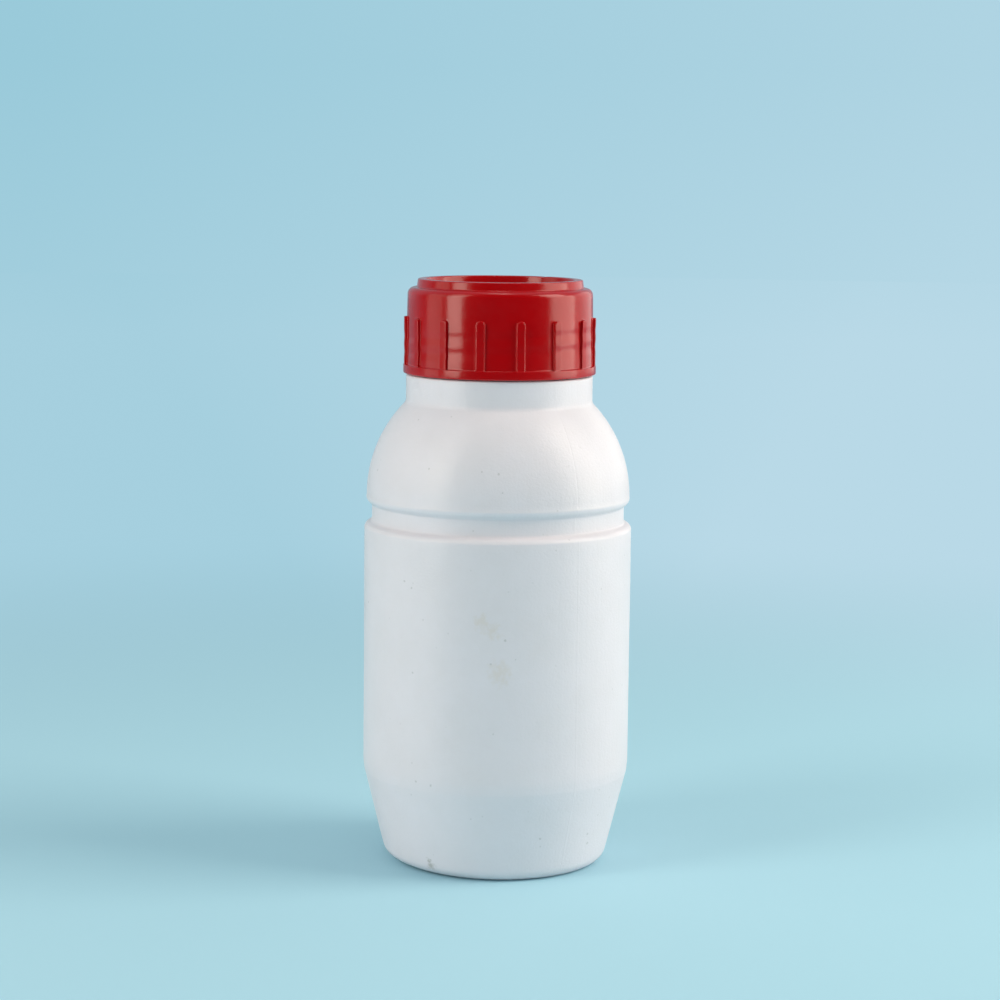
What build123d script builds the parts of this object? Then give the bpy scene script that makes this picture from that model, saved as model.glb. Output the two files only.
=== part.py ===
from build123d import *
import os
from math import pi, radians, sin, sqrt, tan

# A round plastic bottle of about 500 ml with a wide red screw cap.
# Lengths are in millimetres and angles in degrees. The origin is the middle of the base on the
# standing plane, +Z is up, and -Y is the front. Heights add up from the standing plane, so a change
# of one size carries everything above it along.

# Bottle body
body_diameter = 74.6
body_wall = 1.2
taper_height = 27.0
taper_inset = 6.7           # how much smaller the foot is than the side, on the radius
taper_round = 12.0          # soft bend between the taper and the side
side_height = 67.8          # straight side, from the taper to the grip groove
lip_round = 1.6             # upper edge of the side

# Base
foot_round = 5.5
standing_width = 6.6        # from the foot's corner in to the push-up's edge
push_up_slope = 3.5         # width of the sloping face round the push-up
push_up_height = 2.6
push_up_round = 3.0
pinch_inset = 0.5           # from the push-up's edge to the ends of the pinch weld
pinch_width = 0.9
pinch_height = 0.4
parting_angle = -54.0       # direction of the mould's parting plane, which the weld follows

# Grip groove
groove_depth = 2.1
groove_lower_slope = 0.9    # height of the sloping face below the groove's floor
groove_floor = 4.7
groove_upper_slope = 1.4
groove_root_round = 0.8

# Dome
dome_inset = 0.6            # how much smaller the dome is than the side, on the radius
dome_edge = 1.1             # short straight edge between the groove and the dome
dome_edge_round = 1.7

# Neck, collar and the neck's thread
neck_diameter = 44.8        # at the root of the thread
neck_height = 20.5
neck_wall = 2.0
mouth_round = 0.4
collar_step = 3.5           # how far the collar stands out beyond the neck
collar_height = 7.75
collar_round = 0.6
thread_pitch = 4.233        # six threads to the inch
thread_depth = 1.2
thread_root_width = 2.3
thread_crest_width = 1.0
thread_rise = 6.4           # from the collar up to the middle of the thread's lower end
thread_drop = 4.6           # from the mouth down to the middle of its upper end
thread_run_out = 30.0       # angle over which each end of a thread dies away
thread_sink = 0.4           # how deep a thread's root goes into the wall
thread_start = 50.0         # direction of both threads' lower ends
thread_sections = 24        # sections in each turn of a lofted thread

# Cap. Its walls are measured outward from its bore.
cap_clearance = 0.35        # between the neck's thread and the cap's bore, on the radius
cap_gap = 0.45              # between the collar and the cap's lower edge
cap_thread_depth = 1.0
flank_clearance = 0.1       # least gap between the two threads, along the axis, when tight
lead_in = 0.5               # chamfer at the cap's open end
top_wall = 2.0
skirt_top_wall = 1.35
skirt_low_wall = 1.85
shoulder_round = 2.2
band_wall = 2.75
band_height = 2.2
band_round = 0.5

# Raised ring on the cap's top
ring_inset = 2.65           # from the skirt's upper end in to the ring
ring_wall = 2.3
ring_height = 2.3
ring_round = 0.4
recess_depth = 0.4          # floor inside the ring, below the top around it

# Ribs on the cap's side
rib_count = 15
rib_width = 2.4
rib_length = 13.4
rib_low_height = 0.7        # how far a rib stands out beyond the skirt's lower end
rib_top_height = 1.05       # and beyond its upper end
rib_end_round = 0.9
rib_draft = 8.0
rib_angle = 12.5            # the first rib to the right of the front

# Sealing wad, and the bead inside the cap that holds it
liner_thickness = 1.5
liner_clearance = 0.3
bead_depth = 0.6
bead_height = 0.9
bead_gap = 0.3

# Radii that follow from the sizes above
body_radius = body_diameter / 2
foot_radius = body_radius - taper_inset
standing_radius = foot_radius - standing_width
push_up_radius = standing_radius - push_up_slope
groove_radius = body_radius - groove_depth
dome_radius = body_radius - dome_inset
neck_radius = neck_diameter / 2
mouth_radius = neck_radius - neck_wall
collar_radius = neck_radius + collar_step
cap_bore_radius = neck_radius + thread_depth + cap_clearance
skirt_top_radius = cap_bore_radius + skirt_top_wall
skirt_low_radius = cap_bore_radius + skirt_low_wall
band_radius = cap_bore_radius + band_wall
ring_radius = skirt_top_radius - ring_inset

# Heights that follow, from the standing plane up
groove_low_z = taper_height + side_height
groove_floor_z = groove_low_z + groove_lower_slope
groove_top_z = groove_floor_z + groove_floor
dome_low_z = groove_top_z + groove_upper_slope
dome_centre_z = dome_low_z + dome_edge
crease_z = dome_centre_z + sqrt(dome_radius**2 - collar_radius**2)
collar_top_z = crease_z + collar_height
mouth_z = collar_top_z + neck_height
cap_low_z = collar_top_z + cap_gap
band_top_z = cap_low_z + band_height
liner_top_z = mouth_z + liner_thickness
deck_z = liner_top_z + top_wall

# The two threads. The cap's lies just under the neck's, on the same screw line.
thread_low_z = collar_top_z + thread_rise
thread_turns = (neck_height - thread_rise - thread_drop) / thread_pitch
thread_step = (thread_root_width + thread_crest_width) / 2 + flank_clearance


def fitted_round(radius, before, corner, after):
    """A corner's round, made smaller where its two runs leave too little room."""
    run_in, run_out = corner - before, after - corner
    turn = radians(run_in.get_angle(run_out))
    return min(radius, 0.45 * min(run_in.length, run_out.length) / tan(turn / 2))


def rounded_line(*corners):
    """A line through corners given as (radius, height, round)."""
    points = [Vector(x, z) for x, z, _ in corners]
    rounds = [
        fitted_round(corner[2], *points[i : i + 3]) if corner[2] else 0
        for i, corner in enumerate(corners[1:-1])
    ]
    return FilletPolyline(*points, radius=rounds)


def half_section(line, *closing):
    """The face inside a half outline that is closed along the axis."""
    return make_face(line.edges() + Polyline(line @ 1, *closing, line @ 0).edges())


def turned(section):
    """A half section stood upright and revolved about the axis."""
    return revolve(Plane.XZ * section, Axis.Z)


def bottle_section():
    """Half of the bottle, as if it were solid."""
    lower = rounded_line(
        (0, push_up_height, 0),
        (push_up_radius, push_up_height, push_up_round),
        (standing_radius, 0, push_up_round),
        (foot_radius, 0, foot_round),
        (body_radius, taper_height, taper_round),
        (body_radius, groove_low_z, lip_round),
        (groove_radius, groove_floor_z, groove_root_round),
        (groove_radius, groove_top_z, groove_root_round),
        (dome_radius, dome_low_z, dome_edge_round),
        (dome_radius, dome_centre_z, 0),
    )
    dome = RadiusArc((dome_radius, dome_centre_z), (collar_radius, crease_z), -dome_radius)
    upper = rounded_line(
        (collar_radius, crease_z, 0),
        (collar_radius, collar_top_z, collar_round),
        (neck_radius, collar_top_z, collar_round),
        (neck_radius, mouth_z, mouth_round),
        (mouth_radius, mouth_z, 0),
    )
    line = Wire([*lower.edges(), *dome.edges(), *upper.edges()])
    return half_section(line, (0, mouth_z))


def hollow_section(outside):
    """Half of the air inside: the outside set in by the wall, and narrowed to the neck's bore."""
    inside = offset(outside + mirror(outside, about=Plane.YZ), -body_wall)
    body = inside & Rectangle(body_radius, collar_top_z - body_wall, align=from_corner)
    bore_low_z = collar_top_z - 2 * body_wall
    bore = Rectangle(mouth_radius, mouth_z - bore_low_z, align=from_corner)
    return body + Pos(0, bore_low_z) * bore


def thread(wall_radius, crest_radius, low_z):
    """A ridge that climbs a wall as a screw and dies away at both ends."""
    outward = 1 if crest_radius > wall_radius else -1
    root = wall_radius - outward * thread_sink
    buried_tip = wall_radius - outward * thread_sink / 2
    full_angle = 360 * thread_turns
    steps = round(thread_sections * thread_turns)
    sections = []
    for i in range(steps + 1):
        angle = full_angle * i / steps
        to_end = min(angle, full_angle - angle) / thread_run_out
        crest = buried_tip + (crest_radius - buried_tip) * sin(pi / 2 * min(1, to_end))
        middle = low_z + thread_pitch * angle / 360
        ridge = Polygon(
            (root, middle - thread_root_width / 2),
            (crest, middle - thread_crest_width / 2),
            (crest, middle + thread_crest_width / 2),
            (root, middle + thread_root_width / 2),
            align=None,
        )
        sections.append(Rot(0, 0, thread_start + angle) * (Plane.XZ * ridge))
    return loft(sections)


def pinch_weld():
    """The straight weld across the push-up, where the mould pinched the tube shut."""
    length = 2 * (push_up_radius - pinch_inset)
    weld = Box(length, pinch_width, pinch_height + body_wall, align=on_base)
    return Pos(0, 0, push_up_height - pinch_height) * Rot(0, 0, parting_angle) * weld


def make_bottle():
    """The blown bottle: outside, weld and thread, emptied by the air inside."""
    outside = bottle_section()
    neck_thread = thread(neck_radius, neck_radius + thread_depth, thread_low_z)
    return turned(outside) + pinch_weld() + neck_thread - turned(hollow_section(outside))


def cap_section():
    """Half of the cap without its thread and ribs, from its top round the skirt to its underside."""
    recess_z = deck_z - recess_depth
    ring_top_z = deck_z + ring_height
    bead_top_z = mouth_z - bead_gap
    line = rounded_line(
        (0, recess_z, 0),
        (ring_radius - ring_wall, recess_z, ring_round),
        (ring_radius - ring_wall, ring_top_z, ring_round),
        (ring_radius, ring_top_z, ring_round),
        (ring_radius, deck_z, ring_round),
        (skirt_top_radius, deck_z, shoulder_round),
        (skirt_low_radius, band_top_z, 0),
        (band_radius, band_top_z, band_round / 2),
        (band_radius, cap_low_z, band_round),
        (cap_bore_radius + lead_in, cap_low_z, 0),
        (cap_bore_radius, cap_low_z + lead_in, 0),
        (cap_bore_radius, bead_top_z - bead_height, 0),
        (cap_bore_radius - bead_depth, bead_top_z - bead_height / 2, bead_depth / 2),
        (cap_bore_radius, bead_top_z, 0),
        (cap_bore_radius, liner_top_z, 0),
        (0, liner_top_z, 0),
    )
    return half_section(line)


def make_ribs():
    """The ribs round the skirt: drafted tongues with rounded upper ends, cut to one cone."""
    low_z = cap_low_z + band_round
    top_z = band_top_z + rib_length
    root_radius = (cap_bore_radius + skirt_top_radius) / 2
    crest_radius = skirt_low_radius + rib_low_height
    tongue = Pos(0, low_z) * Rectangle(rib_width, top_z - low_z, align=(Align.CENTER, Align.MIN))
    tongue = fillet(tongue.vertices().group_by(Axis.Y)[-1], rib_end_round)
    tongue = extrude(Plane.YZ.offset(root_radius) * tongue, crest_radius - root_radius, taper=rib_draft)
    cone = Polygon(
        (0, low_z),
        (crest_radius, low_z),
        (crest_radius, band_top_z),
        (skirt_top_radius + rib_top_height, top_z),
        (0, top_z),
        align=None,
    )
    rib = tongue & turned(cone)
    return [Rot(0, 0, rib_angle - 90 + i * 360 / rib_count) * rib for i in range(rib_count)]


def make_cap():
    """The moulded cap: top with its ring, ribbed skirt, band, wad bead and inside thread."""
    crest_radius = cap_bore_radius - cap_thread_depth
    cap_thread = thread(cap_bore_radius, crest_radius, thread_low_z - thread_step)
    return turned(cap_section()) + [*make_ribs(), cap_thread]


def make_liner():
    """The die-cut sealing wad between the mouth and the cap's top."""
    wad = Cylinder(cap_bore_radius - liner_clearance, liner_thickness, align=on_base)
    return Pos(0, 0, mouth_z) * wad


from_corner = (Align.MIN, Align.MIN)
on_base = (Align.CENTER, Align.CENTER, Align.MIN)

os.makedirs("parts", exist_ok=True)
export_step(make_bottle(), "parts/bottle.step")
export_step(make_cap(), "parts/cap.step")
export_step(make_liner(), "parts/liner.step")
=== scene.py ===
"""The looks of a round white plastic bottle with a ribbed red screw cap.

Sizes are written in millimetres and angles in degrees. The origin is the middle of the base, +Z is
up and -Y is the front. Directions round the axis are measured from +X towards +Y.
"""
from math import acos, atan2, ceil, cos, hypot, pi, radians, sin, tan

import bmesh
import bpy
from mathutils import Matrix, Vector, noise


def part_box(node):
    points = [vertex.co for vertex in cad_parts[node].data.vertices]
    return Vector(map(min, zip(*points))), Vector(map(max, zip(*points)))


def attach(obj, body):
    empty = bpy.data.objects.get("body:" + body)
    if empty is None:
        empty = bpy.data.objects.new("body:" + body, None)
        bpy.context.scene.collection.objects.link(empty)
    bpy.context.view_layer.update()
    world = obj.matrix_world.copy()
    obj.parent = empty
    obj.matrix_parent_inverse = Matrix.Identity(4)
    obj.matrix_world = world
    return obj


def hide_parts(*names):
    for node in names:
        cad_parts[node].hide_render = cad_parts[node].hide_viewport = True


MM = 0.001
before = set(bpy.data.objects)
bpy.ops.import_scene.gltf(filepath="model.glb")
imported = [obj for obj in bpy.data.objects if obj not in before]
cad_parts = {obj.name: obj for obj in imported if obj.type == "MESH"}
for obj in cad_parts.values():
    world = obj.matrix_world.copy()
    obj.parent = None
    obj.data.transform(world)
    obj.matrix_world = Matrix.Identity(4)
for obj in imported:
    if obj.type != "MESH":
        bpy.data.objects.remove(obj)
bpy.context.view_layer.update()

# The bottle's outside: high-density polyethylene, blown into a split mould. Its outline is turned
# about the axis. The neck's screw is moulded with it and goes in between the collar and the mouth.
bottle_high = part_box("bottle")[1]
body_radius = bottle_high.x / MM
mouth_z = bottle_high.z / MM
taper_top_z = 27.0            # middle of the bend between the taper and the side
bend_low_z, bend_low_radius = 25.5, body_radius - 0.3    # the bend's firm lower edge
bend_high_z = bend_low_z + 2.6                           # and its soft upper part
foot_radius = body_radius - 6.7
standing_radius = foot_radius - 6.6
push_up_radius = standing_radius - 3.5
push_up_z = 2.6
lip_z = 94.8                  # upper edge of the straight side
groove_radius = body_radius - 2.1
groove_floor_z = lip_z + 0.9
groove_top_z = groove_floor_z + 4.7
dome_radius = body_radius - 0.6
dome_low_z = groove_top_z + 1.4
dome_centre_z = dome_low_z + 1.1
neck_radius = 22.4
mouth_radius = 20.4
mouth_join_z = mouth_z - 1.0  # where the outside's mesh meets the bore's
collar_radius = neck_radius + 3.5
crease_turn = acos(collar_radius / dome_radius)
crease_z = dome_centre_z + dome_radius * sin(crease_turn)
crease_round = 1.8
collar_top_z = mouth_z - 20.5
arc_step = 10.0               # largest angle that one edge of a round takes
bottle_steps = 240            # edges round the bottle
fine_run, coarse_run = 1.8, 4.0    # longest edge along the outside's outline and the inside's
arc_steps, inner_arc_steps = 20, 12    # edges up the dome, outside and inside
weld_reach = 0.002            # points nearer to each other than this become one
near = 0.01                   # how exactly a point is picked by its place


def add_outline(mesh, corners, longest):
    """Draws a line through corners given as (radius, height, round), and cuts its runs short."""
    points = [mesh.verts.new((radius * MM, 0, height * MM)) for radius, height, _ in corners]
    for ends in zip(points, points[1:]):
        mesh.edges.new(ends)
    drawn = set(points)
    for point, (_, _, round_size) in zip(points, corners):
        if round_size:
            runs = [edge.other_vert(point).co - point.co for edge in point.link_edges]
            turn = pi - runs[0].angle(runs[1])
            made = bmesh.ops.bevel(
                mesh, geom=[point], offset=round_size * MM * tan(turn / 2),
                offset_type="OFFSET", segments=max(2, ceil(turn / radians(arc_step))),
                profile=0.5, material=-1, affect="VERTICES",
            )
            drawn.update(made["verts"])
    runs = {edge for point in drawn if point.is_valid for edge in point.link_edges}
    for edge in sorted(runs, key=lambda edge: edge.verts[0].co.z):
        cuts = ceil(edge.calc_length() / (longest * MM) - 0.01) - 1
        if cuts > 0:
            bmesh.ops.subdivide_edges(mesh, edges=[edge], cuts=cuts)


def turn_outline(mesh, steps):
    """Turns all that is drawn once round the axis and closes it."""
    line = mesh.verts[:] + mesh.edges[:]
    bmesh.ops.spin(
        mesh, geom=line, cent=(0, 0, 0), axis=(0, 0, 1), angle=2 * pi, steps=steps, use_merge=True
    )
    bmesh.ops.remove_doubles(mesh, verts=mesh.verts[:], dist=weld_reach * MM)


def rim(mesh, height):
    """The open edges that lie level at one height."""
    return [
        edge for edge in mesh.edges
        if edge.is_boundary and all(abs(v.co.z - height * MM) < near * MM for v in edge.verts)
    ]


# The screw: right-hand, six turns to the inch. One straight line climbs round the axis by one
# pitch, the wall that it leaves is cut level at both ends, and the ridge is raised out of it.
pitch = 4.233
thread_flank = (0.42, 1.25)   # from the ridge's middle to the crest's edge and to the root
thread_rows = (0.0, 0.42, 0.56, 0.70, 0.84, 0.98, 1.12, 1.25)
neck_thread_z = collar_top_z + 6.4
thread_turns = (mouth_z - 4.6 - neck_thread_z) / pitch
thread_start = radians(50)
run_out = 30 / 360            # share of a turn over which an end dies away
neck_thread_depth = 1.2
neck_screw_low, neck_screw_high = collar_top_z + 3.2, mouth_z - 1.6
rim_gap = 0.3                 # strip between a level rim and the wall next to it


def ridge_share(point, low_z, flank=thread_flank):
    """How far out of the wall the screw's ridge is at a point, from 0 to 1."""
    turn = (atan2(point.y, point.x) - thread_start) / (2 * pi) % 1
    climb = (point.z / MM - low_z) / pitch - turn
    along = round(climb) + turn
    if not 0 < along < thread_turns:
        return 0
    to_end = min(along, thread_turns - along) / run_out
    crest, root = flank
    up_flank = min(1, max(0, (root - abs(climb - round(climb)) * pitch) / (root - crest)))
    return sin(pi / 2 * min(1, to_end)) * up_flank**2 * (3 - 2 * up_flank)


def join(mesh, part):
    """Moves a part's faces into another mesh."""
    carrier = bpy.data.meshes.new("carrier")
    part.to_mesh(carrier)
    part.free()
    mesh.from_mesh(carrier)
    bpy.data.meshes.remove(carrier)


def add_screw_wall(mesh, radius, depth, thread_z, low_z, high_z, steps):
    """A round wall with the screw's ridge standing out by depth, joined to the rims it meets."""
    rows = sorted({side * row for row in thread_rows for side in (1, -1)} | {pitch / 2})
    first = int((low_z - thread_z) / pitch) - 3
    last = int((high_z - thread_z) / pitch) + 2
    wall = bmesh.new()
    for turn in range(first, last + 1):
        for row in rows:
            wall.verts.new((radius * MM, 0, (thread_z + turn * pitch + row) * MM))
    wall.verts.ensure_lookup_table()
    for ends in zip(wall.verts, wall.verts[1:]):
        wall.edges.new(ends)
    start = Matrix.Rotation(thread_start, 3, "Z")
    bmesh.ops.rotate(wall, verts=wall.verts[:], cent=(0, 0, 0), matrix=start)
    bmesh.ops.spin(
        wall, geom=wall.verts[:] + wall.edges[:], cent=(0, 0, 0), axis=(0, 0, 1), angle=2 * pi,
        steps=steps, dvec=(0, 0, pitch * MM / steps),
    )
    bmesh.ops.remove_doubles(wall, verts=wall.verts[:], dist=weld_reach * MM)
    for height, upward in ((low_z + rim_gap, -1), (high_z - rim_gap, 1)):
        bmesh.ops.bisect_plane(
            wall, geom=wall.verts[:] + wall.edges[:] + wall.faces[:], dist=0.0001 * MM,
            plane_co=(0, 0, height * MM), plane_no=(0, 0, upward), clear_outer=True,
        )
    for point in (v.co for v in wall.verts):
        point.xy *= 1 + depth * MM * ridge_share(point, thread_z) / point.xy.length
    join(mesh, wall)
    for height, gap in ((low_z, rim_gap), (high_z, -rim_gap)):
        bmesh.ops.bridge_loops(mesh, edges=rim(mesh, height) + rim(mesh, height + gap))


# The bottle's outside goes together from its turned outlines and the screw's wall.
outside = bmesh.new()
add_outline(outside, (
    (0, push_up_z, 0),
    (push_up_radius, push_up_z, 3.0),
    (standing_radius, 0, 3.0),
    (foot_radius, 0, 4.0),
    (bend_low_radius, bend_low_z, 2.0),
    (body_radius, bend_high_z, 12.0),
    (body_radius, lip_z, 1.6),
    (groove_radius, groove_floor_z, 0.8),
    (groove_radius, groove_top_z, 0.8),
    (dome_radius + 0.3, dome_low_z, 1.7),
    (dome_radius, dome_centre_z, 0),
), fine_run)
dome_edge = max(outside.verts, key=lambda v: v.co.z)
bmesh.ops.spin(
    outside, geom=[dome_edge], cent=(0, 0, dome_centre_z * MM), axis=(0, -1, 0),
    angle=crease_turn, steps=arc_steps,
)
add_outline(outside, (
    (collar_radius, crease_z, 0),
    (collar_radius, collar_top_z, 0.6),
    (neck_radius, collar_top_z, 0.6),
    (neck_radius, neck_screw_low, 0),
), fine_run)
bmesh.ops.remove_doubles(outside, verts=outside.verts[:], dist=weld_reach * MM)
crease = min(
    outside.verts, key=lambda v: hypot(v.co.x - collar_radius * MM, v.co.z - crease_z * MM)
)
bmesh.ops.bevel(
    outside, geom=[crease], offset=crease_round * MM * tan(crease_turn / 2), offset_type="OFFSET",
    segments=5, profile=0.5, material=-1, affect="VERTICES",
)
add_outline(outside, (
    (neck_radius, neck_screw_high, 0),
    (neck_radius, mouth_z, 0.4),
    (mouth_radius, mouth_z, 0.3),
    (mouth_radius, mouth_join_z, 0),
), fine_run)
half_step = Matrix.Rotation(pi / bottle_steps, 3, "Z")
bmesh.ops.rotate(outside, verts=outside.verts[:], cent=(0, 0, 0), matrix=half_step)
turn_outline(outside, bottle_steps)

# The seam where the mould's two halves met runs up both sides, and on the base it thickens into
# the weld where they pinched the soft tube shut. Plane cuts along it make room for its ridge.
seam_direction = radians(-54)
seam_half_width = 0.34
seam_cuts = (-seam_half_width, -0.2, -0.08, 0.08, 0.2, seam_half_width)
seam_height = 0.028
seam_low_z = 1.5
seam_zone = 2.0               # the cuts keep to the faces this near to the seam
weld_half_width = 0.45
weld_cuts = (-0.6, -weld_half_width, weld_half_width, 0.6)
weld_height = 0.4
weld_end = push_up_radius - 0.5
weld_top_z = push_up_z + 0.1
seam_across = Vector((-sin(seam_direction), cos(seam_direction), 0))


def cut_along_seam(mesh, offset, reach, top):
    """Cuts faces near the seam, inside a radius and below a height, along one plane."""
    strip = [
        face for face in mesh.faces
        if abs(face.calc_center_median().dot(seam_across)) < seam_zone * MM
        and max(v.co.z for v in face.verts) < top * MM
        and max(v.co.xy.length for v in face.verts) < reach * MM
    ]
    parts = {part for face in strip for part in (*face.verts, *face.edges)}
    bmesh.ops.bisect_plane(
        mesh, geom=strip + list(parts), dist=0.0005 * MM,
        plane_co=seam_across * offset * MM, plane_no=seam_across,
    )


for offset in seam_cuts:
    cut_along_seam(outside, offset, body_radius + 1, collar_top_z - 0.5)
for offset in weld_cuts:
    cut_along_seam(outside, offset, push_up_radius + 0.5, weld_top_z)
outside.normal_update()
for point in outside.verts:
    side = abs(point.co.dot(seam_across)) / MM
    height = point.co.z / MM
    on_base = point.co.xy.length < weld_end * MM and height < weld_top_z
    if on_base and side < weld_half_width + near:
        point.co.z -= weld_height * MM
    elif not on_base and side < seam_half_width and seam_low_z < height < collar_top_z:
        point.co += point.normal * seam_height * MM * (1 - (side / seam_half_width) ** 2) ** 2

add_screw_wall(
    outside, neck_radius, neck_thread_depth, neck_thread_z, neck_screw_low, neck_screw_high,
    bottle_steps,
)

# The bottle's inside follows the outside at the wall's thickness, and narrows to the neck's bore.
wall = 1.2
inside_low_z = push_up_z + wall
bore_low_z = collar_top_z - wall
inner_dome = dome_radius - wall
inner_collar = collar_radius - wall
inner_turn = acos(inner_collar / inner_dome)
inside = bmesh.new()
add_outline(inside, (
    (0, inside_low_z, 0),
    (push_up_radius + 0.4, inside_low_z, 3.0),
    (standing_radius + 0.2, wall, 3.0),
    (foot_radius - wall, wall, 4.3),
    (body_radius - wall, taper_top_z, 12.0),
    (body_radius - wall, lip_z - 0.6, 1.0),
    (groove_radius - wall, groove_floor_z, 2.0),
    (groove_radius - wall, groove_top_z, 2.0),
    (inner_dome, dome_low_z + 0.6, 0.5),
    (inner_dome, dome_centre_z, 0),
), coarse_run)
dome_edge = max(inside.verts, key=lambda v: v.co.z)
bmesh.ops.spin(
    inside, geom=[dome_edge], cent=(0, 0, dome_centre_z * MM), axis=(0, -1, 0),
    angle=inner_turn, steps=inner_arc_steps,
)
add_outline(inside, (
    (inner_collar, dome_centre_z + inner_dome * sin(inner_turn), 0),
    (inner_collar, bore_low_z, 1.5),
    (mouth_radius, bore_low_z, 0.6),
    (mouth_radius, mouth_join_z, 0),
), coarse_run)
bmesh.ops.rotate(inside, verts=inside.verts[:], cent=(0, 0, 0), matrix=half_step)
turn_outline(inside, bottle_steps)

# Both walls become one closed shell. A blown shell is never quite true: its walls wander a little,
# and the foot has shrunk up from the floor on the left.
wander = 0.10
wander_length = 24.0
wander_low_z = 4.0            # the wander fades out here and at the collar
wander_fade = 12.0
foot_lift = 1.1
foot_lift_direction = radians(200)
foot_lift_top = 9.0


def settle(point):
    """Moves a point of the shell to where cooling left it: inward, and up at the foot."""
    height = point.z / MM
    if wander_low_z < height < crease_z:
        drift = noise.noise(point / (wander_length * MM)) * 0.5 + 0.5
        fade = min(1, (height - wander_low_z) / wander_fade, (crease_z - height) / wander_fade)
        point.xy *= 1 - wander * MM * drift * fade / max(point.xy.length, MM)
    if point.z < foot_lift_top * MM:
        lift = max(0, cos(atan2(point.y, point.x) - foot_lift_direction)) ** 2
        lift *= (point.xy.length / (foot_radius * MM)) ** 4
        fade = 1 - point.z / (foot_lift_top * MM)
        point.z += foot_lift * MM * min(lift, 1.2) * fade**2


def to_mesh(mesh, name):
    """Turns a finished bmesh into a smooth-shaded object at the origin."""
    bmesh.ops.remove_doubles(mesh, verts=mesh.verts[:], dist=weld_reach * MM)
    bmesh.ops.recalc_face_normals(mesh, faces=mesh.faces[:])
    for face in mesh.faces:
        face.smooth = True
    data = bpy.data.meshes.new(name)
    mesh.to_mesh(data)
    mesh.free()
    piece = bpy.data.objects.new(name, data)
    bpy.context.scene.collection.objects.link(piece)
    return piece


join(outside, inside)
for point in outside.verts:
    settle(point.co)
bottle = to_mesh(outside, "bottle_shell")


def srgb(colour):
    """A hex colour such as '#a1b2c3' as linear red, green, blue and alpha."""
    parts = [int(colour[i:i + 2], 16) / 255 for i in (1, 3, 5)]
    return [c / 12.92 if c <= 0.04045 else ((c + 0.055) / 1.055) ** 2.4 for c in parts] + [1]


def add_node(owner, kind, inputs=None, **settings):
    """Adds one shader node with its settings, and fills or links its inputs."""
    made = owner.node_tree.nodes.new("ShaderNode" + kind)
    for name, value in settings.items():
        setattr(made, name, value)
    for name, value in (inputs or {}).items():
        if isinstance(value, bpy.types.NodeSocket):
            owner.node_tree.links.new(value, made.inputs[name])
        else:
            made.inputs[name].default_value = value
    return made


def mix_colours(owner, share, first, second):
    """A colour between two, by a share from 0 to 1."""
    mixed = add_node(owner, "Mix", {0: share, 6: first, 7: second}, data_type="RGBA")
    return mixed.outputs[2]


def new_material(name):
    """A material with no nodes yet."""
    material = bpy.data.materials.new(name)
    material.use_nodes = True
    material.node_tree.nodes.clear()
    return material


def wobbled(owner, place, size, amount):
    """The place with a random push, so that a mark's edge comes out ragged."""
    push = add_node(owner, "TexNoise", {"Vector": place, "Scale": 1 / (size * MM), "Detail": 2.0})
    centred = add_node(owner, "VectorMath", {
        0: push.outputs["Color"], 1: (0.5, 0.5, 0.5),
    }, operation="SUBTRACT")
    scaled = add_node(owner, "VectorMath", {
        0: centred.outputs["Vector"], "Scale": amount * MM,
    }, operation="SCALE")
    moved = add_node(owner, "VectorMath", {0: place, 1: scaled.outputs["Vector"]})
    return moved.outputs["Vector"]


def marks(owner, place, spots, core):
    """A share from 0 to 1 for round marks, each given as a place and a radius in millimetres."""
    total = 0.0
    for x, y, z, radius in spots:
        away = add_node(owner, "VectorMath", {
            0: place, 1: (x * MM, y * MM, z * MM),
        }, operation="DISTANCE")
        share = add_node(owner, "MapRange", {
            "Value": away.outputs["Value"], "From Min": radius * MM, "From Max": radius * core * MM,
        }, interpolation_type="SMOOTHSTEP")
        total = add_node(owner, "Math", {
            0: share.outputs["Result"], 1: total,
        }, operation="MAXIMUM").outputs["Value"]
    return total


def part_of(owner, share, limit):
    """A share scaled down to a limit."""
    return add_node(owner, "Math", {0: share, 1: limit}, operation="MULTIPLY").outputs["Value"]


# Blow-moulded polyethylene: waxy, slightly see-through white that the sand-blasted mould leaves
# satin. Fine grain and faint upright die lines break up its highlights.
hdpe = new_material("blow_moulded_hdpe")
place = add_node(hdpe, "TexCoord").outputs["Object"]
grain_size = 0.7              # the real grain is finer: this is as coarse as it has to be to show
die_line_gap = 1.6
die_line_stretch = 0.015      # squeezes the pattern's height, which draws the lines upright
dimple_size = 5.0
cloud_size = 14.0
grain = add_node(hdpe, "TexNoise", {
    "Vector": place, "Scale": 1 / (grain_size * MM), "Detail": 3.0, "Roughness": 0.65,
})
stretched = add_node(hdpe, "Mapping", {"Vector": place, "Scale": (1, 1, die_line_stretch)})
die_lines = add_node(hdpe, "TexNoise", {
    "Vector": stretched.outputs["Vector"], "Scale": 1 / (die_line_gap * MM), "Detail": 2.0,
})
dimples = add_node(hdpe, "TexNoise", {
    "Vector": place, "Scale": 1 / (dimple_size * MM), "Detail": 2.0,
})
grain_bump = add_node(hdpe, "Bump", {
    "Height": grain.outputs["Fac"], "Distance": 0.09 * MM, "Strength": 0.8,
})
line_bump = add_node(hdpe, "Bump", {
    "Height": die_lines.outputs["Fac"], "Distance": 0.06 * MM, "Strength": 0.6,
    "Normal": grain_bump.outputs["Normal"],
})
surface = add_node(hdpe, "Bump", {
    "Height": dimples.outputs["Fac"], "Distance": 0.10 * MM, "Strength": 0.5,
    "Normal": line_bump.outputs["Normal"],
})
clouds = add_node(hdpe, "TexNoise", {
    "Vector": place, "Scale": 1 / (cloud_size * MM), "Detail": 4.0, "Roughness": 0.65,
})
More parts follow.
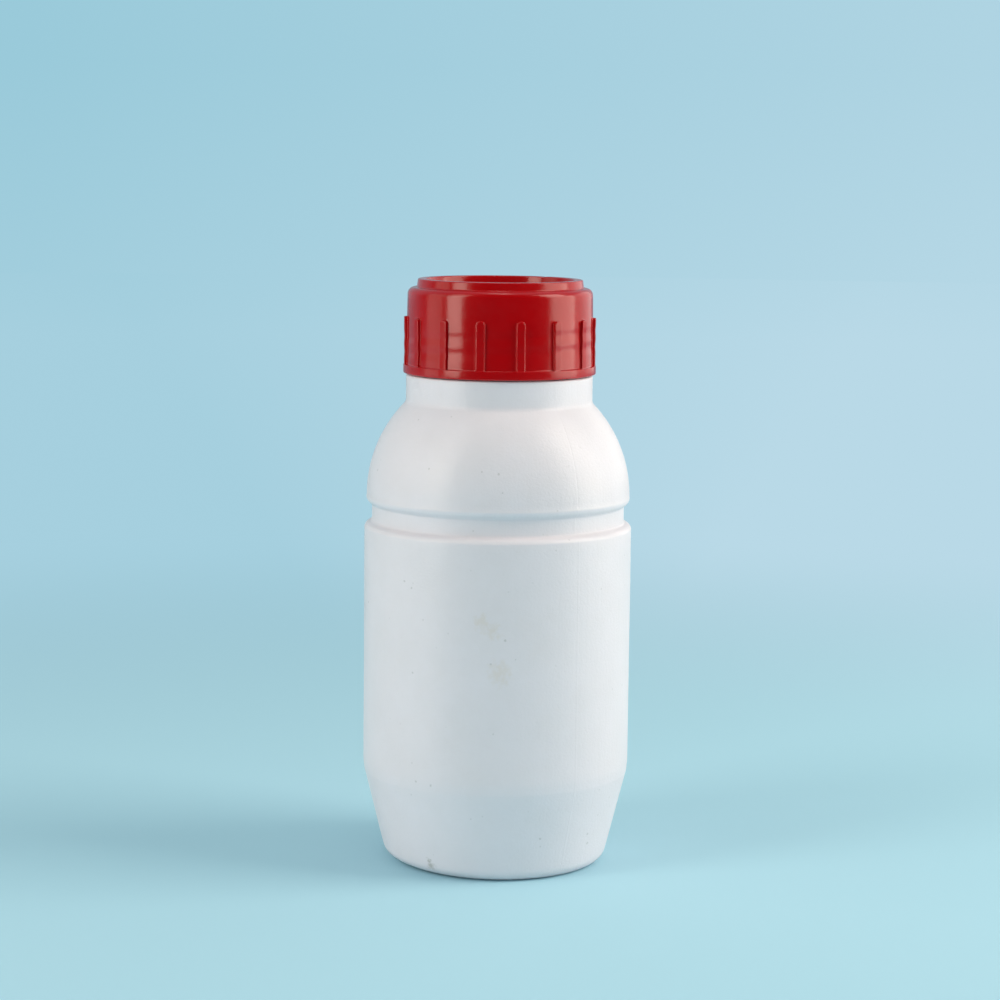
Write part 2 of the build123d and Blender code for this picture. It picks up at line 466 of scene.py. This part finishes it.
shade = mix_colours(hdpe, clouds.outputs["Fac"], srgb("#e5dcde"), srgb("#ede4e9"))

# Its marks: three pale stains on the front, a smudge of dirt at the foot, and dark specks. The
# placed specks are the ones that show in front, and finer ones are scattered all round.
stain_spots = ((-4.2, -37.1, 73.0, 2.9), (-1.2, -37.3, 70.8, 3.2), (0.9, -37.3, 59.2, 4.4))
smudge_spots = ((-17.2, -26.4, 3.2, 1.7), (-18.0, -26.5, 5.0, 1.0))
speck_spots = (
    (-33.1, -13.6, 111.0, 0.5), (0.1, -35.3, 112.8, 0.45), (-21.8, -18.9, 125.5, 0.4),
    (-18.6, -29.8, 113.4, 0.35), (-4.4, -34.9, 113.3, 0.35), (1.2, -36.3, 107.9, 0.35),
    (-25.0, -27.5, 82.5, 0.5), (-23.1, -29.2, 80.9, 0.4), (-35.5, -11.4, 74.0, 0.5),
    (2.3, -37.1, 68.2, 0.45), (-22.6, -29.5, 57.8, 0.4), (-21.5, -30.4, 27.9, 0.45),
    (-17.4, -32.8, 27.4, 0.45), (12.4, -31.3, 12.6, 0.45), (25.6, -21.6, 11.6, 0.5),
    (25.6, -20.4, 8.7, 0.55), (5.2, -37.0, 63.0, 0.35), (-1.5, -37.3, 61.8, 0.4),
)
stains = marks(hdpe, wobbled(hdpe, place, 1.3, 6.0), stain_spots, 0.2)
smudge = marks(hdpe, wobbled(hdpe, place, 1.0, 2.4), smudge_spots, 0.2)
specks = marks(hdpe, wobbled(hdpe, place, 0.5, 0.5), speck_spots, 0.4)
speck_gap = 3.2
speck_chance = 0.2
scatter = add_node(hdpe, "TexVoronoi", {"Vector": place, "Scale": 1 / (speck_gap * MM)})
fine_speck = add_node(hdpe, "MapRange", {
    "Value": scatter.outputs["Distance"], "From Min": 0.10, "From Max": 0.05,
})
chance = add_node(hdpe, "SeparateXYZ", {"Vector": scatter.outputs["Color"]})
picked = add_node(hdpe, "Math", {
    0: chance.outputs["X"], 1: 1 - speck_chance,
}, operation="GREATER_THAN")
fine = add_node(hdpe, "Math", {
    0: fine_speck.outputs["Result"], 1: picked.outputs["Value"],
}, operation="MULTIPLY")
shade = mix_colours(hdpe, part_of(hdpe, stains, 0.3), shade, srgb("#dccab6"))
shade = mix_colours(hdpe, part_of(hdpe, smudge, 0.5), shade, srgb("#8f8878"))
shade = mix_colours(hdpe, part_of(hdpe, specks, 0.28), shade, srgb("#857f75"))
shade = mix_colours(hdpe, part_of(hdpe, fine.outputs["Value"], 0.2), shade, srgb("#8d877d"))
rubbed = add_node(hdpe, "MapRange", {
    "Value": clouds.outputs["Fac"], "From Min": 0.35, "From Max": 0.65,
    "To Min": 0.30, "To Max": 0.38,
})
white = add_node(hdpe, "BsdfPrincipled", {
    "Base Color": shade,
    "Roughness": rubbed.outputs["Result"],
    "IOR": 1.54,
    "Subsurface Weight": 0.25,
    "Subsurface Radius": (1.0, 0.95, 0.9),
    "Subsurface Scale": 1.5 * MM,
    "Normal": surface.outputs["Normal"],
})
add_node(hdpe, "OutputMaterial", {"Surface": white.outputs["BSDF"]})
bottle.data.materials.append(hdpe)
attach(bottle, "bottle")
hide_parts("bottle")

# The cap: gloss polypropylene, injection-moulded. One slice with one rib is drawn and spun, then
# repeated round the axis, and the screw's wall is joined in between the lead-in and the wad's bead.
cap_box_low, cap_box_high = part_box("cap")
cap_low_z = cap_box_low.z / MM
ring_top_z = cap_box_high.z / MM
band_radius = 26.7
band_top_z = cap_low_z + 2.2
band_low_z = cap_low_z - 0.2  # the band nearly closes the gap above the collar
band_edge_round = 0.12
bore_radius = 23.95
band_inner_radius = bore_radius + 0.8
lead_in = 0.5
skirt_low_radius = 25.95
skirt_top_radius = 25.6
shoulder_round = 1.9
deck_z = ring_top_z - 2.3
recess_z = deck_z - 0.4
ring_radius = 22.8
ring_base_radius = 23.1
ring_inner_radius = 20.5
ring_inner_base = 20.2
cap_roof_z = deck_z - 2.0
bead_top_z = mouth_z - 0.3
bead_low_z = bead_top_z - 0.9
bead_depth = 0.6
rib_count = 15
rib_half_width = 1.2
rib_round = 0.9
rib_top_z = band_top_z + 13.4
rib_top_reach = 0.9
shoulder_low_z = deck_z - 3.2  # below the round between the top and the skirt
rib_draft = 0.1               # how much narrower each side is at the rib's crest
crest_round = 0.24
root_fillet = 0.15
first_rib = radians(12.5 - 90)
cap_screw_low, cap_screw_high = cap_low_z + 0.8, bead_low_z - 0.5
cap_thread_z = neck_thread_z - 1.75
cap_thread_depth = 1.0
cap_steps = 225               # edges round the cap's inside
top_run, rib_run, band_run, roof_run = 2.0, 0.4, 1.2, 3.0    # longest edges along the outlines
skirt_zone = 25.2             # below the top, only the skirt's outside lies beyond this radius

slice_turn = 2 * pi / rib_count
rib_turn = rib_half_width / skirt_low_radius
round_turn = rib_round / skirt_low_radius


def skirt_radius(height):
    """The skirt's radius, which widens a little from the cap's top down to its band."""
    down = (deck_z - height) / (deck_z - band_top_z)
    return skirt_top_radius + (skirt_low_radius - skirt_top_radius) * down


slice_mesh = bmesh.new()
add_outline(slice_mesh, (
    (0, recess_z, 0),
    (ring_inner_base, recess_z, 0.4),
    (ring_inner_radius, ring_top_z, 0.4),
    (ring_radius, ring_top_z, 0.4),
    (ring_base_radius, deck_z, 0.4),
    (skirt_top_radius, deck_z, shoulder_round),
    (skirt_radius(shoulder_low_z), shoulder_low_z, 0),
), top_run)
for upper, lower in ((shoulder_low_z, rib_top_z), (rib_top_z, band_top_z)):
    add_outline(slice_mesh, (
        (skirt_radius(upper), upper, 0),
        (skirt_radius(lower), lower, 0),
    ), rib_run)
add_outline(slice_mesh, (
    (skirt_low_radius, band_top_z, 0),
    (band_radius, band_top_z, band_edge_round),
    (band_radius, band_low_z, 0.4),
    (band_inner_radius, band_low_z, 0),
    (bore_radius + lead_in, cap_low_z, 0),
    (bore_radius, cap_low_z + lead_in, 0),
    (bore_radius, cap_screw_low, 0),
), band_run)
add_outline(slice_mesh, (
    (bore_radius, cap_screw_high, 0),
    (bore_radius, bead_low_z, 0),
    (bore_radius - bead_depth, (bead_low_z + bead_top_z) / 2, bead_depth / 2),
    (bore_radius, bead_top_z, 0),
    (bore_radius, cap_roof_z, 0.3),
    (0, cap_roof_z, 0),
), roof_run)
bmesh.ops.remove_doubles(slice_mesh, verts=slice_mesh.verts[:], dist=weld_reach * MM)
bmesh.ops.rotate(
    slice_mesh, verts=slice_mesh.verts[:], cent=(0, 0, 0),
    matrix=Matrix.Rotation(-slice_turn / 2, 3, "Z"),
)
front = slice_mesh.verts[:] + slice_mesh.edges[:]
gap = (slice_turn / 2 - rib_turn, 4)
corner = (round_turn, 3)
for angle, steps in (gap, corner, (2 * (rib_turn - round_turn), 2), corner, gap):
    made = bmesh.ops.spin(
        slice_mesh, geom=front, cent=(0, 0, 0), axis=(0, 0, 1), angle=angle, steps=steps
    )
    front = made["geom_last"]
bmesh.ops.remove_doubles(slice_mesh, verts=slice_mesh.verts[:], dist=weld_reach * MM)


def turn_of(point):
    """A point's direction round the axis."""
    return atan2(point.y, point.x)


def place_at(point, turn, radius):
    """Moves a point to a direction and a radius in millimetres, at its own height."""
    point.x, point.y = radius * MM * cos(turn), radius * MM * sin(turn)


# The rib's two upper corners are rounded in the skirt's own grid, and then the rib is raised.
inner_turn, inner_z = rib_turn - round_turn, rib_top_z - rib_round
for point in (v.co for v in slice_mesh.verts):
    turn, height, radius = turn_of(point), point.z / MM, point.xy.length / MM
    across = (abs(turn) - inner_turn) * skirt_low_radius
    up = height - inner_z
    if radius > skirt_zone and 0 < across < rib_round + near and 0 < up < rib_round + near:
        shrink = max(across, up) / hypot(across, up)
        side = 1 if turn > 0 else -1
        place_at(point, side * (inner_turn + across * shrink / skirt_low_radius), radius)
        point.z = (inner_z + up * shrink) * MM
rib_faces = [
    face for face in slice_mesh.faces
    if face.calc_center_median().xy.length > skirt_zone * MM
    and (band_top_z + near) * MM < face.calc_center_median().z < rib_top_z * MM
    and abs(turn_of(face.calc_center_median())) < rib_turn
]
rib_patch = rib_faces + list({edge for face in rib_faces for edge in face.edges})
made = bmesh.ops.extrude_face_region(slice_mesh, geom=rib_patch)["geom"]
crest_points = [part for part in made if isinstance(part, bmesh.types.BMVert)]
crest_faces = {part for part in made if isinstance(part, bmesh.types.BMFace)}
narrowing = 1 - rib_draft / rib_half_width
rib_low_reach = band_radius - band_edge_round
rib_high_reach = skirt_radius(rib_top_z) + rib_top_reach
for point in (v.co for v in crest_points):
    share = (point.z / MM - band_top_z) / (rib_top_z - band_top_z)
    reach = rib_low_reach + (rib_high_reach - rib_low_reach) * share
    place_at(point, turn_of(point) * narrowing, reach)
    point.z -= rib_draft * MM * share

# The rib's lower end stands on the band: the faces between them go, and their edges are welded.
def on_rib(point):
    """Whether a point lies within the rib's width."""
    return abs(turn_of(point)) < rib_turn * 1.001


def is_buried(face):
    """Whether a face lies level on the band's top, under the rib."""
    level = all(abs(v.co.z - band_top_z * MM) < near * MM for v in face.verts)
    inside = all(v.co.xy.length < (rib_low_reach + near) * MM for v in face.verts)
    return level and inside and on_rib(face.calc_center_median())


buried = [face for face in slice_mesh.faces if is_buried(face)]
bmesh.ops.delete(slice_mesh, geom=buried, context="FACES")
rib_foot = [v for v in crest_points if abs(v.co.z - band_top_z * MM) < near * MM]
band_edge = [
    v for v in slice_mesh.verts
    if v not in rib_foot and on_rib(v.co) and abs(v.co.z - band_top_z * MM) < near * MM
    and abs(v.co.xy.length - rib_low_reach * MM) < near * MM
]
rib_foot.sort(key=lambda v: turn_of(v.co))
band_edge.sort(key=lambda v: turn_of(v.co))
bmesh.ops.weld_verts(slice_mesh, targetmap=dict(zip(band_edge, rib_foot)))

# Its crest's edge is broken by a small round, and a fillet runs round its root.
crest_edges = [
    edge for edge in slice_mesh.edges
    if sum(face in crest_faces for face in edge.link_faces) == 1
    and max(v.co.z for v in edge.verts) > (band_top_z + near) * MM
]
side_faces = {face for edge in crest_edges for face in edge.link_faces} - crest_faces
root_edges = [
    edge for edge in slice_mesh.edges
    if sum(face in side_faces for face in edge.link_faces) == 1
    and not any(face in crest_faces for face in edge.link_faces)
    and max(v.co.z for v in edge.verts) > (band_top_z + near) * MM
]
for edges, size, segments in ((crest_edges, crest_round, 4), (root_edges, root_fillet, 3)):
    bmesh.ops.bevel(
        slice_mesh, geom=edges, offset=size * MM, offset_type="OFFSET", segments=segments,
        profile=0.5, material=-1, affect="EDGES", clamp_overlap=True,
    )
slice_parts = slice_mesh.verts[:] + slice_mesh.edges[:] + slice_mesh.faces[:]
bmesh.ops.spin(
    slice_mesh, geom=slice_parts, cent=(0, 0, 0), axis=(0, 0, 1), angle=2 * pi - slice_turn,
    steps=rib_count - 1, use_duplicate=True,
)
bmesh.ops.remove_doubles(slice_mesh, verts=slice_mesh.verts[:], dist=weld_reach * MM)
bmesh.ops.rotate(
    slice_mesh, verts=slice_mesh.verts[:], cent=(0, 0, 0),
    matrix=Matrix.Rotation(first_rib, 3, "Z"),
)
add_screw_wall(
    slice_mesh, bore_radius, -cap_thread_depth, cap_thread_z, cap_screw_low, cap_screw_high,
    cap_steps,
)

# The thick ridge inside cools last and draws the skirt in, so that the screw shows outside as a
# faint hollow. The ring's rim has a nick.
sink_depth = 0.10
sink_flank = (0, pitch / 2)     # the hollow is as wide as the pitch and has no flat floor
nick_direction = radians(55)
nick_depth, nick_reach = 0.25, 0.9
for point in (v.co for v in slice_mesh.verts):
    radius = point.xy.length
    if radius > skirt_zone * MM and (band_top_z + near) * MM < point.z < shoulder_low_z * MM:
        point.xy *= 1 - sink_depth * MM * ridge_share(point, cap_thread_z, sink_flank) / radius
    if point.z > (ring_top_z - 0.2) * MM:
        turned = (turn_of(point) - nick_direction + pi) % (2 * pi) - pi
        away = abs(turned) * radius / MM / nick_reach
        point.z -= nick_depth * MM * max(0, 1 - away**2) ** 2
cap = to_mesh(slice_mesh, "cap_moulding")

# Polypropylene, injection-moulded in a polished mould: glossy, coloured right through and a little
# see-through, with the slight waviness of a shrunk surface. Handling has dulled it in places.
polypropylene = new_material("moulded_polypropylene")
place = add_node(polypropylene, "TexCoord").outputs["Object"]
wave_size, handling_size, flow_size = 3.0, 7.0, 9.0
waviness = add_node(polypropylene, "TexNoise", {
    "Vector": place, "Scale": 1 / (wave_size * MM), "Detail": 3.0, "Roughness": 0.6,
})
surface = add_node(polypropylene, "Bump", {
    "Height": waviness.outputs["Fac"], "Distance": 0.09 * MM, "Strength": 0.45,
})
handling = add_node(polypropylene, "TexNoise", {
    "Vector": place, "Scale": 1 / (handling_size * MM), "Detail": 6.0, "Roughness": 0.7,
})
dulled = add_node(polypropylene, "MapRange", {
    "Value": handling.outputs["Fac"], "From Min": 0.4, "From Max": 0.7,
    "To Min": 0.15, "To Max": 0.23,
})
flow = add_node(polypropylene, "TexNoise", {
    "Vector": place, "Scale": 1 / (flow_size * MM), "Detail": 2.0,
})
red_shade = mix_colours(polypropylene, flow.outputs["Fac"], srgb("#ac0106"), srgb("#b80208"))
red = add_node(polypropylene, "BsdfPrincipled", {
    "Base Color": red_shade,
    "Roughness": dulled.outputs["Result"],
    "IOR": 1.49,
    "Subsurface Weight": 0.08,
    "Subsurface Radius": (1.0, 0.1, 0.08),
    "Subsurface Scale": 1.0 * MM,
    "Normal": surface.outputs["Normal"],
})
add_node(polypropylene, "OutputMaterial", {"Surface": red.outputs["BSDF"]})
cap.data.materials.append(polypropylene)
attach(cap, "cap")
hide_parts("cap")

# The wad: a disc cut from foamed polyethylene sheet, pushed up into the cap past its bead. The
# bottle's mouth has pressed a shallow ring into its underside.
wad_low, wad_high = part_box("liner")
wad_radius = wad_high.x / MM
wad_low_z, wad_top_z = wad_low.z / MM, wad_high.z / MM
print_depth = 0.12
wad_steps, wad_run = 180, 2.0
wad_mesh = bmesh.new()
add_outline(wad_mesh, (
    (0, wad_low_z, 0),
    (mouth_radius - 0.1, wad_low_z, 0.3),
    (mouth_radius + 0.2, wad_low_z + print_depth, 0.2),
    (neck_radius - 0.2, wad_low_z + print_depth, 0.2),
    (neck_radius + 0.1, wad_low_z, 0.3),
    (wad_radius, wad_low_z, 0.15),
    (wad_radius, wad_top_z, 0.15),
    (0, wad_top_z, 0),
), wad_run)
turn_outline(wad_mesh, wad_steps)
wad = to_mesh(wad_mesh, "wad_disc")

# Foamed polyethylene: matt white with closed cells, which show as small round pits.
foam = new_material("foamed_polyethylene")
place = add_node(foam, "TexCoord").outputs["Object"]
cell_size = 0.6
cells = add_node(foam, "TexVoronoi", {"Vector": place, "Scale": 1 / (cell_size * MM)})
surface = add_node(foam, "Bump", {
    "Height": cells.outputs["Distance"], "Distance": 0.08 * MM, "Strength": 0.6,
})
pale = add_node(foam, "BsdfPrincipled", {
    "Base Color": srgb("#e6e6e1"),
    "Roughness": 0.7,
    "IOR": 1.5,
    "Subsurface Weight": 0.2,
    "Subsurface Radius": (1.0, 1.0, 0.95),
    "Subsurface Scale": 1.0 * MM,
    "Normal": surface.outputs["Normal"],
})
add_node(foam, "OutputMaterial", {"Surface": pale.outputs["BSDF"]})
wad.data.materials.append(foam)
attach(wad, "liner")
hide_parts("liner")

# The floor: a round of pale blue paper. Away from the bottle it fades into the plain background
# that the camera sees behind it, and in front it ends, for reflections, in the dark room.
paper_radius = 3600.0
fade_start, fade_end = 150.0, 650.0     # distance from the bottle
room_start, room_end = -200.0, -450.0   # y, where the dark room fades in
glow_z = 200.0                # the glow has the background's colour as seen from this height
floor_mesh = bmesh.new()
bmesh.ops.create_circle(floor_mesh, cap_ends=True, segments=64, radius=paper_radius * MM)
floor_data = bpy.data.meshes.new("paper_floor")
floor_mesh.to_mesh(floor_data)
floor_mesh.free()
floor = bpy.data.objects.new("paper_floor", floor_data)
bpy.context.scene.collection.objects.link(floor)


def backdrop(owner, direction):
    """The background's pale blue in a direction: a little darker upwards and to the left."""
    parts = add_node(owner, "SeparateXYZ", {"Vector": direction})
    across = add_node(owner, "MapRange", {
        "Value": parts.outputs["X"], "From Min": -0.17, "From Max": 0.17, "To Max": 0.65,
    })
    down = add_node(owner, "MapRange", {
        "Value": parts.outputs["Z"], "From Min": 0.03, "From Max": -0.09, "To Max": 0.35,
    })
    share = add_node(owner, "Math", {0: across.outputs["Result"], 1: down.outputs["Result"]})
    return mix_colours(owner, share.outputs["Value"], srgb("#9acada"), srgb("#b9d9e7"))


paper = new_material("blue_paper")
place = add_node(paper, "TexCoord").outputs["Object"]
seen = add_node(paper, "LightPath")
sheet = add_node(paper, "BsdfPrincipled", {"Base Color": srgb("#b1dbea"), "Roughness": 0.9})
raised = add_node(paper, "VectorMath", {0: place, 1: (0, 0, glow_z * MM)}, operation="SUBTRACT")
outward = add_node(paper, "VectorMath", {0: raised.outputs["Vector"]}, operation="NORMALIZE")
glow = add_node(paper, "Emission", {"Color": backdrop(paper, outward.outputs["Vector"])})
from_axis = add_node(paper, "VectorMath", {0: place}, operation="LENGTH")
fade = add_node(paper, "MapRange", {
    "Value": from_axis.outputs["Value"],
    "From Min": fade_start * MM, "From Max": fade_end * MM,
}, interpolation_type="SMOOTHSTEP")
far = add_node(paper, "Math", {
    0: fade.outputs["Result"], 1: seen.outputs["Is Camera Ray"],
}, operation="MULTIPLY")
sheet_or_glow = add_node(paper, "MixShader", {
    "Fac": far.outputs["Value"], 1: sheet.outputs["BSDF"], 2: glow.outputs["Emission"],
})
dark = add_node(paper, "Emission", {"Color": srgb("#1c2022")})
depth = add_node(paper, "SeparateXYZ", {"Vector": place}).outputs["Y"]
in_room = add_node(paper, "MapRange", {
    "Value": depth, "From Min": room_start * MM, "From Max": room_end * MM,
}, interpolation_type="SMOOTHSTEP")
in_front = add_node(paper, "Math", {
    0: in_room.outputs["Result"], 1: seen.outputs["Is Glossy Ray"],
}, operation="MULTIPLY")
mixed = add_node(paper, "MixShader", {
    "Fac": in_front.outputs["Value"],
    1: sheet_or_glow.outputs["Shader"], 2: dark.outputs["Emission"],
})
add_node(paper, "OutputMaterial", {"Surface": mixed.outputs["Shader"]})
floor.data.materials.append(paper)

# The light: a cool, even surround, three warm soft boxes at each side and a small one overhead.
# Reflections see the paper behind the bottle and a dark room in front of it.
world = bpy.data.worlds.new("studio")
bpy.context.scene.world = world
world.use_nodes = True
world.node_tree.nodes.clear()
surround = 0.44
room_gloss, paper_gloss = 0.003, 0.8
paths = add_node(world, "LightPath")
direction = add_node(world, "TexCoord").outputs["Generated"]
back = add_node(world, "VectorMath", {0: direction, 1: (0, 0.8, 0.6)}, operation="DOT_PRODUCT")
behind = add_node(world, "MapRange", {
    "Value": back.outputs["Value"], "From Min": 0.1, "From Max": 0.6,
    "To Min": room_gloss, "To Max": paper_gloss,
}, interpolation_type="SMOOTHSTEP")
background = backdrop(world, direction)
soft = add_node(world, "Background", {"Color": srgb("#ddf7ff"), "Strength": surround})
glossy = add_node(world, "Background", {
    "Color": background, "Strength": behind.outputs["Result"],
})
plain = add_node(world, "Background", {"Color": background, "Strength": 1.0})
by_gloss = add_node(world, "MixShader", {
    "Fac": paths.outputs["Is Glossy Ray"], 1: soft.outputs[0], 2: glossy.outputs[0],
})
by_camera = add_node(world, "MixShader", {
    "Fac": paths.outputs["Is Camera Ray"], 1: by_gloss.outputs[0], 2: plain.outputs[0],
})
add_node(world, "OutputWorld", {"Surface": by_camera.outputs[0]})

# Each lamp: name, direction from the front towards the right, height above the horizon, distance,
# width, height and brightness, where a brightness of 1 looks white.
aim_z = 90.0
warm = (1.0, 0.90, 0.79)
lamps = (
    ("key_high", 80, 42, 1000, 500, 450, 4.9),
    ("key_low", 84, 13, 900, 660, 560, 3.3),
    ("right_wall", 125, 14, 1000, 1100, 600, 0.9),
    ("strip_high", -57, 40, 950, 320, 500, 2.4),
    ("strip_low", -57, 13, 900, 320, 560, 4.4),
    ("left_wall", -88, 12, 1000, 440, 900, 1.1),
    ("top_box", 0, 88, 1200, 300, 300, 3.0),
)
for name, direction, elevation, distance, width, height, brightness in lamps:
    lamp = bpy.data.lights.new(name, "AREA")
    lamp.shape = "RECTANGLE"
    lamp.size, lamp.size_y = width * MM, height * MM
    lamp.energy = brightness * pi * lamp.size * lamp.size_y
    lamp.color = warm
    holder = bpy.data.objects.new(name, lamp)
    bpy.context.scene.collection.objects.link(holder)
    turn, rise = radians(direction - 90), radians(elevation)
    outward = Vector((cos(turn) * cos(rise), sin(turn) * cos(rise), sin(rise)))
    holder.location = Vector((0, 0, aim_z * MM)) + outward * distance * MM
    holder.rotation_euler = outward.to_track_quat("Z", "Y").to_euler()
    holder.visible_camera = False

# The camera stands 760 mm in front, a little above the cap, and looks slightly down.
camera_distance, camera_height = 760.0, 198.4
pitch_down, yaw_right, roll = 0.127, 0.0007, 0.011
camera = bpy.data.cameras.new("camera")
camera.lens = 98.77
camera.sensor_width = 36.0
viewer = bpy.data.objects.new("camera", camera)
bpy.context.scene.collection.objects.link(viewer)
viewer.matrix_world = (
    Matrix.Translation((0, -camera_distance * MM, camera_height * MM))
    @ Matrix.Rotation(-yaw_right, 4, "Z")
    @ Matrix.Rotation(pi / 2 - pitch_down, 4, "X")
    @ Matrix.Rotation(roll, 4, "Z")
)
bpy.context.scene.camera = viewer
bpy.context.scene.view_settings.view_transform = "Standard"

bpy.context.view_layer.update()
